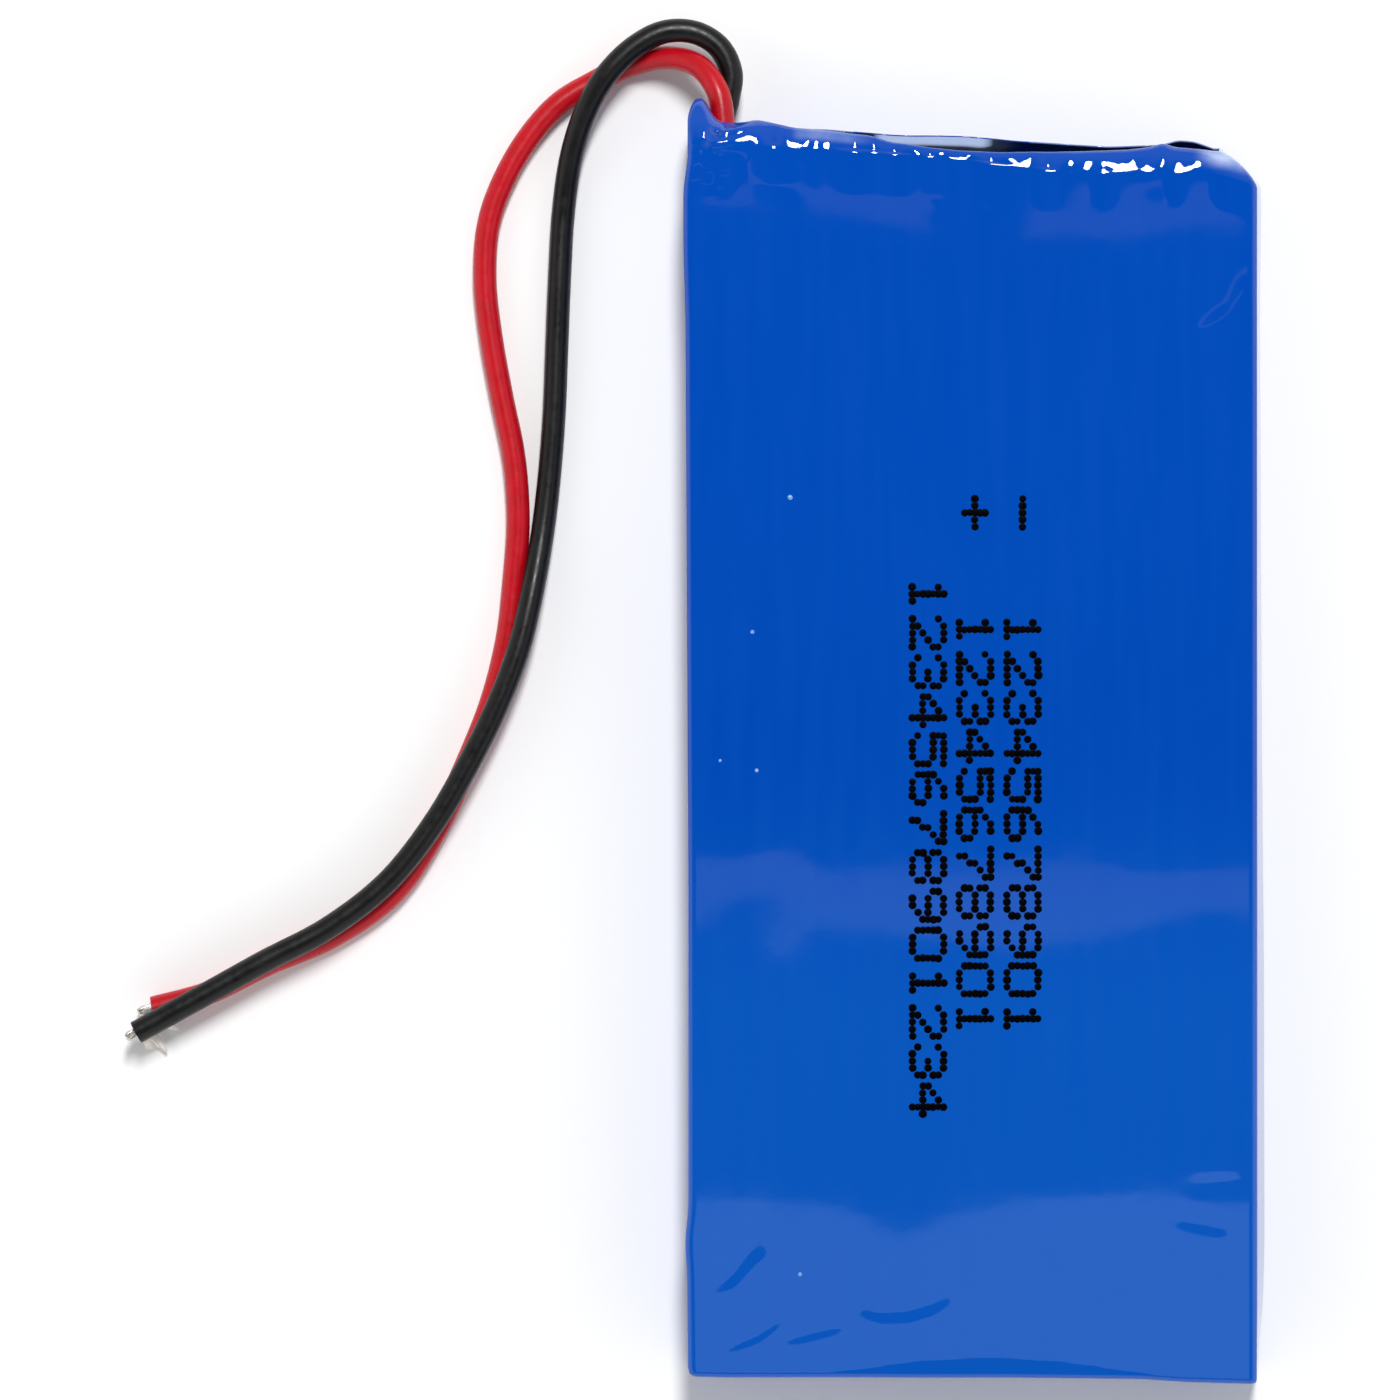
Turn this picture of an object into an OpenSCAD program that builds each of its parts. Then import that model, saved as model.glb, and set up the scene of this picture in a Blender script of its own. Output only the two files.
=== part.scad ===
// Two-cell lithium-polymer pouch pack in a heat-shrink sleeve, with two flying leads.
// X is the width, +Y points to the lead end and Z is the thickness.
// The origin is the middle of the underside of the sleeve.

/* [Cells] */
// Width of one pouch cell over its folded side seals
cell_w = 40; // [38:0.5:42]
// Thickness of one pouch cell
cell_t = 3.7; // [3.6:0.1:4.2]
// Length of one pouch cell with its sealed terrace
cell_l = 85; // [80:1:90]
// Length of the sealed terrace at the tab end
terrace_l = 4; // [3.5:0.5:5]
// Thickness of the pouch laminate
laminate_t = 0.12; // [0.1:0.01:0.14]
// Corner radius of the drawn cup
cup_r = 1; // [0.6:0.1:1.2]
// Outer radius of the folded side seals
seal_r = 0.8; // [0.8:0.1:1.2]
// Turns in each wound roll
turns = 4; // [3:1:4]
// Distance of each tab from the middle of the cell
tab_x = 9; // [8.5:0.5:10]
// Width of the tabs
tab_w = 5; // [4:0.5:5]
// Thickness of the tabs
tab_t = 0.12; // [0.1:0.01:0.12]

/* [Sleeve] */
// Thickness of the shrink film
film_t = 0.15; // [0.1:0.01:0.2]
// Corner radius of the sleeve along its length
sleeve_r = 1.2; // [0.8:0.1:1.5]
// Room between the cells' side seals and the film
side_slack = 0.35; // [0.2:0.05:0.5]
// Length of the sleeve past the cells at the lead end
head_l = 4.8; // [4.6:0.1:5.5]
// Width of the film folded over the tail edge
tail_fold = 2; // [1:0.1:2.5]

/* [Protection board] */
// Width of the board
board_w = 36; // [34:0.5:36]
// Depth of the board along the pack
board_d = 5.6; // [5.4:0.1:5.6]
// Thickness of the board
board_t = 0.8; // [0.6:0.1:1]

/* [Leads] */
// Outer diameter of each lead
lead_d = 1.7; // [1.4:0.1:1.7]
// Diameter of the tinned strands
core_d = 0.78; // [0.6:0.02:0.9]
// Length of the tinned strands past the insulation
tip_l = 1.2; // [1:0.1:3]
// Distance of the leads from the middle of the pack
lead_x = 18; // [17.5:0.1:18.2]

/* [Hidden] */
$fn = 48;

// Small clearances between pieces that are glued, soldered or pressed together
hair = 0.01;
gap = 0.025;
bond_t = 0.1;

// The pack
pack_w = cell_w + 2 * (side_slack + film_t);
pack_t = 2 * (cell_t + film_t) + bond_t + 4 * gap;
tail_gap = 0.05;
pack_l = cell_l + head_l + film_t + tail_gap;
mouth_y = pack_l / 2;
tail_y = -mouth_y + film_t + tail_gap;
terrace_end_y = tail_y + cell_l;
cell_z = film_t + gap;
mid_z = pack_t / 2;

// The pouch, in the cell's own frame: Y from its tail, Z from its flat outer face
seal_t = 2 * laminate_t;
seal_h = 3;
cup_l = cell_l - terrace_l;
cup_w = cell_w - 2 * seal_t - 2 * hair;
room_w = cup_w - 2 * laminate_t;
room_t = cell_t - 2 * laminate_t;

// The wound roll: an anode, a separator, a cathode and a second separator side by side
roll_slack = 0.05;
core_r = 0.2;
roll_t = room_t - 2 * roll_slack;
pitch = (roll_t - 2 * core_r + 2 * hair) / (2 * turns + 2 / 3);
foil_t = pitch / 3;
separator_t = pitch / 6 - 2 * hair;
roll_z = cell_t / 2 + pitch / 4;
roll_end_r = core_r + (turns + 0.75) * pitch + separator_t / 2;
roll_straight = room_w - 2 * roll_end_r - 0.2;
turn_step = 30;
separator_y = [0.5, cup_l - 0.7];
anode_y = [0.8, cup_l - 1];
cathode_y = [1.2, cup_l - 1.4];
roll_tape_t = 0.03;

// The tabs, in the pack's frame, for the lower cell
sealant_t = 0.06;
sealant_w = tab_w + 1.2;
tunnel_w = sealant_w + 0.2;
tunnel_h = tab_t + 2 * sealant_t + 4 * hair;
flange_t = tunnel_h + 0.17;
tab_root_y = tail_y + cup_l - 5.2;
tab_drop_y = tail_y + cup_l - 0.35;
tab_root_z = cell_z + cell_t / 2;
tab_z = cell_z + laminate_t + 2 * hair + sealant_t + tab_t / 2;
adapter_z = tab_z + tab_t + hair;
fold_y = mouth_y - 3.5;

// The protection board, level with the middle of the pack
board_left = -lead_x - 1;
board_front_y = mouth_y - 3;
board_back_y = board_front_y - board_d;
board_z = mid_z - board_t / 2;
pad_t = 0.05;
tab_pad = [5.6, 3];
lead_pad = [1.6, 3.4];
tab_joint_y = board_front_y - 2.6;
lead_joint_y = board_front_y - 2;
tab_land_z = board_z - pad_t - 0.02 - tab_t / 2;
tab_land_y = board_front_y - 3.8;
chip_y = board_back_y + board_d / 2;

// The sleeve's head: the film closes in from a shoulder to two lips, one corner is folded in
// along a slant, and at the other the film stands open round the leads
shoulder_y = mouth_y - 3.6;
upper_lip_y = mouth_y - 2.1;
lower_lip_y = mouth_y - 1.3;
lower_lip_z = 3.4;
upper_lip_z = pack_t - 2.5;
neck_y = mouth_y - 6;
slant_from = [pack_w / 2 - 0.3, mouth_y - 4.7];
slant_normal = [0.6, 0.8];
nub_w = 5;

// The leads: points relative to the mouth along Y, height above the bench in Z
core_rise = lead_d / 2 + 0.05;
red_z = mid_z + core_rise;
black_z = mid_z - core_rise;
lead_start_y = board_front_y + 0.1;
lead_sides = 8;
red_route = concat(
    [[-lead_x, lead_start_y - mouth_y, red_z], [-lead_x, 0, red_z]],
    [
        [-18.4, 2.2, 4.6], [-19.8, 4.1, 3.6], [-22.2, 4.8, 2], [-24.8, 4.3, 1.1],
        [-27.3, 3.1, 0.9], [-29.8, 1.6, 0.9], [-31.9, -0.7, 0.9], [-33.7, -3.7, 0.9],
        [-34.9, -7, 0.9], [-35.2, -11, 0.9], [-34.8, -15, 0.9], [-34, -19.5, 0.9],
        [-33.1, -24, 0.9], [-32.8, -28.5, 0.9], [-33.1, -33, 0.9], [-33.6, -37.2, 0.9],
        [-34.8, -41.9, 0.9], [-36.7, -46.6, 0.9], [-38.8, -51.1, 0.9], [-41.9, -55.6, 0.9],
        [-46.3, -58.7, 0.9], [-51, -60.7, 0.9], [-55.2, -62.4, 0.9], [-59.2, -63.7, 0.9]
    ]
);
black_route = concat(
    [[-lead_x, lead_start_y - mouth_y, black_z], [-lead_x, 0, black_z]],
    [
        [-17.6, 1.8, 3], [-17.4, 3.6, 3], [-18.2, 5.4, 3], [-19.9, 6.5, 3],
        [-22.1, 6.6, 3], [-24.2, 5.6, 3], [-26.3, 3.6, 2.9], [-27.8, 1.1, 2.4],
        [-28.9, -2.1, 1.5], [-29.5, -6, 0.9], [-29.8, -11, 0.9], [-30, -16, 0.9],
        [-30.2, -21, 0.9], [-30.6, -26, 0.9], [-31.1, -30, 1.2], [-31.8, -34, 2.1],
        [-32.7, -37.8, 2.5], [-34.2, -41.8, 2.6], [-36.3, -46.1, 2.6], [-39, -50.7, 2.6],
        [-42.3, -54.8, 2.6], [-46.6, -58.1, 2.6], [-51, -60.4, 2.6], [-55.5, -62.9, 2.6],
        [-60, -65.4, 2.6]
    ]
);

// ---- Shapes ----

function arc(x, y, r, from, to, steps = 6) =
    r == 0 ? [[x, y]] : [
        for (i = [0:steps])
            let (a = from + (to - from) * i / steps)
            [x + r * cos(a), y + r * sin(a)]
    ];

// A box outline centred on X, with its own radius at the low and the high corners
function box_outline(w, low, high, r_low, r_high) = concat(
    arc(w / 2 - r_low, low + r_low, r_low, -90, 0),
    arc(w / 2 - r_high, high - r_high, r_high, 0, 90),
    arc(r_high - w / 2, high - r_high, r_high, 90, 180),
    arc(r_low - w / 2, low + r_low, r_low, 180, 270)
);

function unit(v) = v / norm(v);
function left_of(v) = [-v[1], v[0]];

// The outline of a strip of thickness t that is folded along a path, with mitred corners
function strip_outline(path, t) =
    let (
        n = len(path) - 1,
        normals = [for (i = [0:n - 1]) left_of(unit(path[i + 1] - path[i]))],
        offsets = [
            for (i = [0:n])
                i == 0 ? normals[0]
                : i == n ? normals[n - 1]
                : (normals[i - 1] + normals[i]) / (1 + normals[i - 1] * normals[i])
        ]
    )
    concat(
        [for (i = [0:n]) path[i] + offsets[i] * t / 2],
        [for (i = [n:-1:0]) path[i] - offsets[i] * t / 2]
    );

// The roll's steps: an angle, and the end of the flat stretch it turns about
roll_steps = [
    for (a = [0:turn_step:360 * turns])
        each a % 180 == 90 ? [[a, sign(cos(a - 1))], [a, sign(cos(a + 1))]] : [[a, sign(cos(a))]]
];

function roll_point(s, offset) =
    let (r = core_r + offset + pitch * s[0] / 360)
    [s[1] * roll_straight / 2 + r * cos(s[0]), r * sin(s[0])];

function roll_outline(offset, t) = concat(
    [for (s = roll_steps) roll_point(s, offset + t / 2)],
    [for (i = [len(roll_steps) - 1:-1:0]) roll_point(roll_steps[i], offset - t / 2)]
);

function in_pack(route) = [for (p = route) p + [0, mouth_y, 0]];
function end_direction(route) = unit(route[len(route) - 1] - route[len(route) - 2]);

// One ring of a tube, square to its run
function tube_ring(route, i, d) =
    let (
        last = len(route) - 1,
        along = unit(route[min(i + 1, last)] - route[max(i - 1, 0)]),
        side = unit(cross(along, [0, 0, 1])),
        up = cross(side, along)
    )
    [
        for (k = [0:lead_sides - 1])
            let (a = 360 * (k + 0.5) / lead_sides)
            route[i] + d / 2 * (cos(a) * side + sin(a) * up)
    ];

module tube(route, d) {
    rings = len(route);
    points = [for (i = [0:rings - 1]) each tube_ring(route, i, d)];
    walls = [
        for (i = [0:rings - 2], k = [0:lead_sides - 1])
            let (
                next = (k + 1) % lead_sides,
                a = i * lead_sides,
                b = a + lead_sides
            )
            [a + k, b + k, b + next, a + next]
    ];
    first_cap = [for (k = [0:lead_sides - 1]) k];
    last_cap = [for (k = [lead_sides - 1:-1:0]) (rings - 1) * lead_sides + k];
    polyhedron(points, concat([first_cap, last_cap], walls));
}

module along_y(from, to) {
    translate([0, to, 0])
        rotate([90, 0, 0])
            linear_extrude(to - from)
                children();
}

module along_x(from, to) {
    translate([from, 0, 0])
        rotate([90, 0, 90])
            linear_extrude(to - from)
                children();
}

module centred_box(x, y, z, size) {
    translate([x - size[0] / 2, y - size[1] / 2, z])
        cube(size);
}

// The lower cell's own frame
module in_cell() {
    translate([0, tail_y, cell_z])
        children();
}

// The upper cell and the board's upper face are the lower ones turned over about Y
module turned_over() {
    translate([0, 0, pack_t])
        rotate([0, 180, 0])
            children();
}

// ---- Sleeve and insulation ----

module sleeve_section(inset) {
    polygon(box_outline(pack_w - 2 * inset, inset, pack_t - inset, sleeve_r - inset, sleeve_r - inset));
}

// The head's side outline: both films curve in to the mouth
module head_profile(inset) {
    low_r = lower_lip_y - shoulder_y;
    high_r = upper_lip_y - shoulder_y;
    polygon(concat(
        [[neck_y - 1, inset]],
        arc(shoulder_y, low_r, low_r - inset, -90, 0),
        [[lower_lip_y - inset, lower_lip_z + film_t], [upper_lip_y - inset, upper_lip_z - film_t]],
        arc(shoulder_y, pack_t - high_r, high_r - inset, 0, 90),
        [[neck_y - 1, pack_t - inset]]
    ));
}

// The head seen from above, with one corner cut off by the slant
module head_plan(inset) {
    limit = slant_normal * slant_from - inset;
    right = pack_w / 2 - inset;
    slant_end_y = (limit - slant_normal[0] * right) / slant_normal[1];
    slant_end_x = (limit - slant_normal[1] * mouth_y) / slant_normal[0];
    polygon([
        [-pack_w / 2, neck_y - 1], [right, neck_y - 1], [right, slant_end_y],
        [slant_end_x, mouth_y], [-pack_w / 2, mouth_y]
    ]);
}

module head_form(inset) {
    intersection() {
        along_x(-pack_w / 2, pack_w / 2)
            head_profile(inset);
        along_y(neck_y - 1, mouth_y)
            sleeve_section(inset);
        linear_extrude(pack_t)
            head_plan(inset);
    }
}

module nub_form(inset, reach) {
    along_y(neck_y - 1, mouth_y + reach)
        intersection() {
            sleeve_section(inset);
            translate([inset - pack_w / 2, 0])
                square([nub_w - 2 * inset, pack_t]);
        }
}

module shrink_sleeve() {
    color("royalblue")
        difference() {
            union() {
                along_y(-mouth_y, neck_y)
                    sleeve_section(0);
                head_form(0);
                nub_form(0, 0);
            }
            along_y(film_t - mouth_y, neck_y)
                sleeve_section(film_t);
            head_form(film_t);
            nub_form(film_t, 1);
            translate([nub_w - pack_w / 2, shoulder_y, lower_lip_z])
                cube([pack_w - nub_w - 2, 4, upper_lip_z - lower_lip_z]);
            along_y(-mouth_y - 1, -mouth_y + 1)
                polygon(box_outline(pack_w - 2 * tail_fold, tail_fold, pack_t - tail_fold, 0.8, 0.8));
        }
}

module head_insulator() {
    paper_t = 0.12;
    back_y = terrace_end_y + 0.4;
    low = cell_z + 0.04 + paper_t / 2;
    high = pack_t - low;
    bend_y = fold_y - 0.5;
    bend_z = 1.5;
    front = board_front_y + 0.3;
    window = [3.4, 1, 4.1];
    color("darkseagreen")
        difference() {
            along_x(board_left, board_left + board_w - 0.4)
                polygon(strip_outline([
                    [back_y, low], [bend_y, low], [front, low + bend_z],
                    [front, high - bend_z], [bend_y, high], [back_y, high]
                ], paper_t));
            translate([-lead_x - window[0] / 2, front - window[1] / 2, mid_z - window[2] / 2])
                cube(window);
        }
}

module cell_bond_tape() {
    tape = [cell_w - 4, cup_l - 5, bond_t];
    color("gainsboro")
        centred_box(0, tail_y + cup_l / 2, mid_z - bond_t / 2, tape);
}

// ---- One cell ----

// The cup's rim curls in under the room, and the lid closes it
module cell_cup() {
    rim_r = seal_r - 0.1;
    inner_rim_r = rim_r - laminate_t;
    opening_w = cup_w - 2 * rim_r;
    flange_w = cup_w - 2 * rim_r;
    color("silver")
        in_cell()
            difference() {
                union() {
                    along_y(0, cup_l)
                        polygon(box_outline(cup_w, laminate_t, cell_t, rim_r, cup_r));
                    translate([-flange_w / 2, cup_l - laminate_t, laminate_t])
                        cube([flange_w, terrace_l + laminate_t, flange_t]);
                }
                along_y(laminate_t, cup_l - laminate_t)
                    polygon(box_outline(room_w, seal_t, cell_t - laminate_t, inner_rim_r, cup_r - laminate_t));
                translate([-opening_w / 2, laminate_t, 0])
                    cube([opening_w, cup_l - seal_t, cell_t / 2]);
                for (side = [-1, 1])
                    translate([side * tab_x - tunnel_w / 2, cup_l - 1, 0])
                        cube([tunnel_w, terrace_l + 2, laminate_t + tunnel_h]);
            }
}

// The side seals are folded up against the cup
module cell_lid() {
    inside_w = cell_w - 2 * seal_t;
    inside_r = seal_r - 0.18;
    terrace_w = cell_w - 2 * seal_r;
    color("lightgray")
        in_cell()
            union() {
                along_y(0, cup_l)
                    difference() {
                        polygon(box_outline(cell_w, 0, seal_h, seal_r, 0));
                        polygon(box_outline(inside_w, laminate_t, seal_h + 1, inside_r, 0));
                    }
                translate([-terrace_w / 2, cup_l - 1, 0])
                    cube([terrace_w, terrace_l + 1, laminate_t]);
            }
}

module winding(span, offset, t) {
    in_cell()
        translate([0, 0, roll_z])
            along_y(span[0], span[1])
                polygon(roll_outline(offset, t));
}

module anode_winding() {
    color("#2b2624")
        winding(anode_y, 0, foil_t);
}

module cathode_winding() {
    color("#3c4046")
        winding(cathode_y, pitch / 2, foil_t);
}

module separator_winding() {
    color("white") {
        winding(separator_y, pitch / 4, separator_t);
        winding(separator_y, pitch * 3 / 4, separator_t);
    }
}

module roll_tape() {
    size = [9, 46, roll_tape_t];
    color("mediumseagreen")
        in_cell()
            centred_box(12, cup_l / 2, roll_z + core_r + turns * pitch + separator_t / 2 + hair, size);
}

module folded_strip(x, path) {
    along_x(x - tab_w / 2, x + tab_w / 2)
        polygon(strip_outline(path, tab_t));
}

// From the middle of the roll, down the inside of the cup's end and out through the terrace
tab_inner_path = [[tab_root_y, tab_root_z], [tab_drop_y, tab_root_z], [tab_drop_y, tab_z]];

module positive_tab() {
    color("#c9ccd1")
        folded_strip(-tab_x, concat(tab_inner_path, [[fold_y - 0.15, tab_z]]));
}

module negative_tab() {
    color("#b9b5a8")
        folded_strip(tab_x, concat(
            tab_inner_path,
            [[fold_y, tab_z], [fold_y, tab_land_z], [tab_land_y, tab_land_z]]
        ));
}

module tab_adapter() {
    color("#b9b5a8")
        folded_strip(-tab_x, [
            [terrace_end_y + 0.35, adapter_z], [fold_y, adapter_z],
            [fold_y, tab_land_z], [tab_land_y, tab_land_z]
        ]);
}

module tab_sealant() {
    film = [sealant_w, terrace_l + 0.2, sealant_t];
    below = laminate_t + hair;
    above = below + film[2] + tab_t + 2 * hair;
    color("#e8e4d8")
        in_cell()
            for (side = [-1, 1], z = [below, above])
                centred_box(side * tab_x, cup_l + 0.1 + film[1] / 2, z, film);
}

// ---- Protection board ----

module protection_board() {
    color("darkgreen")
        translate([board_left, board_back_y, board_z])
            cube([board_w, board_d, board_t]);
}

// The pads on the board's lower face
module lower_pads() {
    for (side = [-1, 1])
        centred_box(side * tab_x, tab_joint_y, board_z - pad_t, [tab_pad[0], tab_pad[1], pad_t]);
}

module lead_land(x) {
    centred_box(x, lead_joint_y, board_z - pad_t, [lead_pad[0], lead_pad[1], pad_t]);
}

module board_pads() {
    color("gold") {
        lower_pads();
        lead_land(-lead_x);
        turned_over() {
            lower_pads();
            lead_land(lead_x);
        }
    }
}

// A six-legged chip standing on z = 0
module chip() {
    body = [2.9, 1.6, 1];
    leg_w = 0.35;
    foot_l = 0.65;
    foot_t = 0.12;
    leg_pitch = 0.95;
    centred_box(0, 0, 0.1, body);
    for (side = [-1, 1], i = [-1:1]) {
        centred_box(i * leg_pitch, side * (body[1] / 2 + foot_l / 2 - hair), 0, [leg_w, foot_l, foot_t]);
        centred_box(i * leg_pitch, side * body[1] / 2, 0, [leg_w, 0.3, 0.55]);
    }
}

module on_board_top() {
    translate([0, chip_y, board_z + board_t])
        children();
}

module protection_ic() {
    color("#1d1d1f")
        on_board_top()
            translate([2.6, 0, 0])
                chip();
}

module mosfets() {
    color("#1d1d1f")
        turned_over()
            on_board_top()
                for (x = [-2.6, 2.6])
                    translate([x, 0, 0])
                        chip();
}

// A two-terminal chip part standing on z = 0
module terminal_chip(h) {
    centred_box(0, 0, 0.03, [1.5, 0.72, h - 0.06]);
    for (side = [-1, 1])
        centred_box(side * 0.65, 0, 0, [0.3, 0.8, h]);
}

module chip_resistors() {
    color("#24262b")
        on_board_top()
            for (at = [[-4.6, -1.6], [-4.6, 0], [-4.6, 1.6], [-1.7, -1.6]])
                translate([at[0], at[1], 0])
                    terminal_chip(0.45);
}

module chip_capacitors() {
    color("#b08d62")
        on_board_top()
            for (y = [0, 1.6])
                translate([-1.7, y, 0])
                    terminal_chip(0.8);
}

// A cap of solder under a tab, and a cradle of solder under a stripped lead
module tab_joint(x) {
    ball_r = 2;
    cap_h = 0.35;
    top = tab_land_z - tab_t / 2 - hair;
    intersection() {
        translate([x, tab_joint_y, top - cap_h + ball_r])
            sphere(r = ball_r);
        centred_box(x, tab_joint_y, top - 1, [4, 4, 1]);
    }
}

module lead_joint(x, z) {
    top = board_z - pad_t - hair;
    low = top - 0.75;
    difference() {
        translate([x, 0, 0])
            along_y(lead_joint_y - 1.4, lead_joint_y + 1.3)
                polygon([[-0.7, top], [-0.5, low], [0.5, low], [0.7, top]]);
        translate([x, lead_joint_y - 3, z])
            rotate([-90, 0, 0])
                cylinder(d = core_d + 2 * hair, h = 6);
    }
}

module solder_joints() {
    color("#a9adb3") {
        lead_joint(-lead_x, black_z);
        turned_over()
            lead_joint(lead_x, black_z);
        for (x = [-tab_x, tab_x]) {
            tab_joint(x);
            turned_over()
                tab_joint(x);
        }
    }
}

// ---- Leads ----

module stripped_end(z) {
    translate([-lead_x, lead_start_y - 3.6, z])
        rotate([-90, 0, 0])
            cylinder(d = core_d, h = 3.6);
}

module tinned_tip(route) {
    direction = end_direction(route);
    translate(route[len(route) - 1])
        rotate([0, acos(direction[2]), atan2(direction[1], direction[0])])
            cylinder(d = core_d, h = tip_l);
}

module red_lead() {
    color("crimson")
        tube(in_pack(red_route), lead_d);
}

module black_lead() {
    color("#222222")
        tube(in_pack(black_route), lead_d);
}

module red_lead_inner_end() {
    color("#b8bcc2")
        stripped_end(red_z);
}

module black_lead_inner_end() {
    color("#b8bcc2")
        stripped_end(black_z);
}

module red_lead_tip() {
    color("#b8bcc2")
        tinned_tip(in_pack(red_route));
}

module black_lead_tip() {
    color("#b8bcc2")
        tinned_tip(in_pack(black_route));
}

shrink_sleeve();
head_insulator();
cell_bond_tape();
cell_cup();  // lower_cell_cup
turned_over() cell_cup();  // upper_cell_cup
cell_lid();  // lower_cell_lid
turned_over() cell_lid();  // upper_cell_lid
anode_winding();  // lower_anode_winding
turned_over() anode_winding();  // upper_anode_winding
cathode_winding();  // lower_cathode_winding
turned_over() cathode_winding();  // upper_cathode_winding
separator_winding();  // lower_separator_winding
turned_over() separator_winding();  // upper_separator_winding
roll_tape();  // lower_roll_tape
turned_over() roll_tape();  // upper_roll_tape
positive_tab();  // lower_positive_tab
turned_over() positive_tab();  // upper_positive_tab
negative_tab();  // lower_negative_tab
turned_over() negative_tab();  // upper_negative_tab
tab_sealant();  // lower_tab_sealant
turned_over() tab_sealant();  // upper_tab_sealant
tab_adapter();  // lower_tab_adapter
turned_over() tab_adapter();  // upper_tab_adapter
protection_board();
board_pads();
protection_ic();
mosfets();
chip_resistors();
chip_capacitors();
solder_joints();
red_lead();
black_lead();
red_lead_inner_end();
black_lead_inner_end();
red_lead_tip();
black_lead_tip();
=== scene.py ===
"""Looks for a two-cell pouch battery in a glossy blue shrink sleeve, with a red and a black lead."""
import math

import bpy
import numpy as np
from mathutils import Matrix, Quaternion, Vector, noise


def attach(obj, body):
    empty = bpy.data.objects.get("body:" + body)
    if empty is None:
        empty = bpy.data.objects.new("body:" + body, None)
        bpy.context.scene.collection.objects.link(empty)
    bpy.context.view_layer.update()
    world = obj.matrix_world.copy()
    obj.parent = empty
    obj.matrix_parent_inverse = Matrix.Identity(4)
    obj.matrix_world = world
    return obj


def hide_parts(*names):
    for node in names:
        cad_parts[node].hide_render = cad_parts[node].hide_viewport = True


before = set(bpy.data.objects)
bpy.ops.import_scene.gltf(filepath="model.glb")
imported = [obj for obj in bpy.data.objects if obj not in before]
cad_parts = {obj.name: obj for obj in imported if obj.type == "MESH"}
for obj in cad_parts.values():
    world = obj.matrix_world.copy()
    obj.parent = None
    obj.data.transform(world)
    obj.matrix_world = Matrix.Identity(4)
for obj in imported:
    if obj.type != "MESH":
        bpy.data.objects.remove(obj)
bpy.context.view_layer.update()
scene = bpy.context.scene
MM = 0.001

# ---------------------------------------------------------------- camera

cam_data = bpy.data.cameras.new("camera")
cam_data.lens = 200
cam_data.sensor_width = 36
cam_data.clip_start = 0.01
cam_data.clip_end = 20
camera = bpy.data.objects.new("camera", cam_data)
camera.location = (-19.64 * MM, 3.43 * MM, 563.5 * MM)
scene.collection.objects.link(camera)
scene.camera = camera
scene.view_settings.view_transform = "Standard"

# ---------------------------------------------------------------- materials


def add_node(tree, kind, inputs=(), **settings):
    """Add a node to a tree. Each input is set to a value, or linked to another node's socket."""
    node = tree.nodes.new(kind)
    for key, value in settings.items():
        setattr(node, key, value)
    for key, value in dict(inputs).items():
        if isinstance(value, bpy.types.NodeSocket):
            tree.links.new(value, node.inputs[key])
        else:
            node.inputs[key].default_value = value
    return node


class Nodes:
    """A short way to wire a material's nodes."""

    def __init__(self, name):
        self.material = bpy.data.materials.new(name)
        self.material.use_nodes = True
        self.tree = self.material.node_tree
        self.shader = self.tree.nodes["Principled BSDF"]
        self.place = self.tree.nodes.new("ShaderNodeTexCoord").outputs["Object"]

    def set(self, **values):
        for key, value in values.items():
            self.shader.inputs[key.replace("_", " ")].default_value = value

    def add(self, kind, inputs=(), **settings):
        return add_node(self.tree, kind, inputs, **settings)

    def to_shader(self, socket, key):
        self.tree.links.new(socket, self.shader.inputs[key])

    def stretched(self, scale):
        node = self.add("ShaderNodeMapping", {"Vector": self.place, "Scale": scale})
        return node.outputs["Vector"]

    def noise(self, scale, detail=2.0, vector=None):
        return self.add(
            "ShaderNodeTexNoise",
            {"Vector": vector or self.place, "Scale": scale, "Detail": detail},
        ).outputs["Fac"]

    def ramp(self, factor, low, high):
        """Noise, which keeps mostly between 0.3 and 0.7, spread from low to high."""
        return self.add(
            "ShaderNodeMapRange",
            {"Value": factor, "From Min": 0.3, "From Max": 0.7, "To Min": low, "To Max": high},
        ).outputs["Result"]

    def mix(self, factor, a, b):
        node = self.add("ShaderNodeMix", {"Factor": factor}, data_type="RGBA")
        for socket, value in ((node.inputs[6], a), (node.inputs[7], b)):
            if isinstance(value, bpy.types.NodeSocket):
                self.tree.links.new(value, socket)
            else:
                socket.default_value = (*value, 1)
        return node.outputs[2]

    def bump(self, height, distance):
        node = self.add("ShaderNodeBump", {"Height": height, "Distance": distance, "Strength": 1.0})
        self.to_shader(node.outputs["Normal"], "Normal")

    def attribute(self, name):
        return self.add("ShaderNodeAttribute", attribute_name=name).outputs["Fac"]


def finish_of(
    name, dark, light, scale, rough, metallic=0.0, bump=0.0, bump_scale=None, stretch=None, **fixed
):
    """A material whose colour, roughness and relief all vary with noise of a size in 1/m."""
    n = Nodes(name)
    n.set(Metallic=metallic, **fixed)
    where = n.stretched(stretch) if stretch else None
    cloud = n.noise(scale, 3.0, where)
    n.to_shader(n.mix(n.ramp(cloud, 0, 1), dark, light), "Base Color")
    n.to_shader(n.ramp(n.noise(scale * 1.7, 2.0, where), rough[0], rough[1]), "Roughness")
    if bump:
        n.bump(n.noise(bump_scale or scale * 3, 2.0, where), bump)
    return n.material


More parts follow.
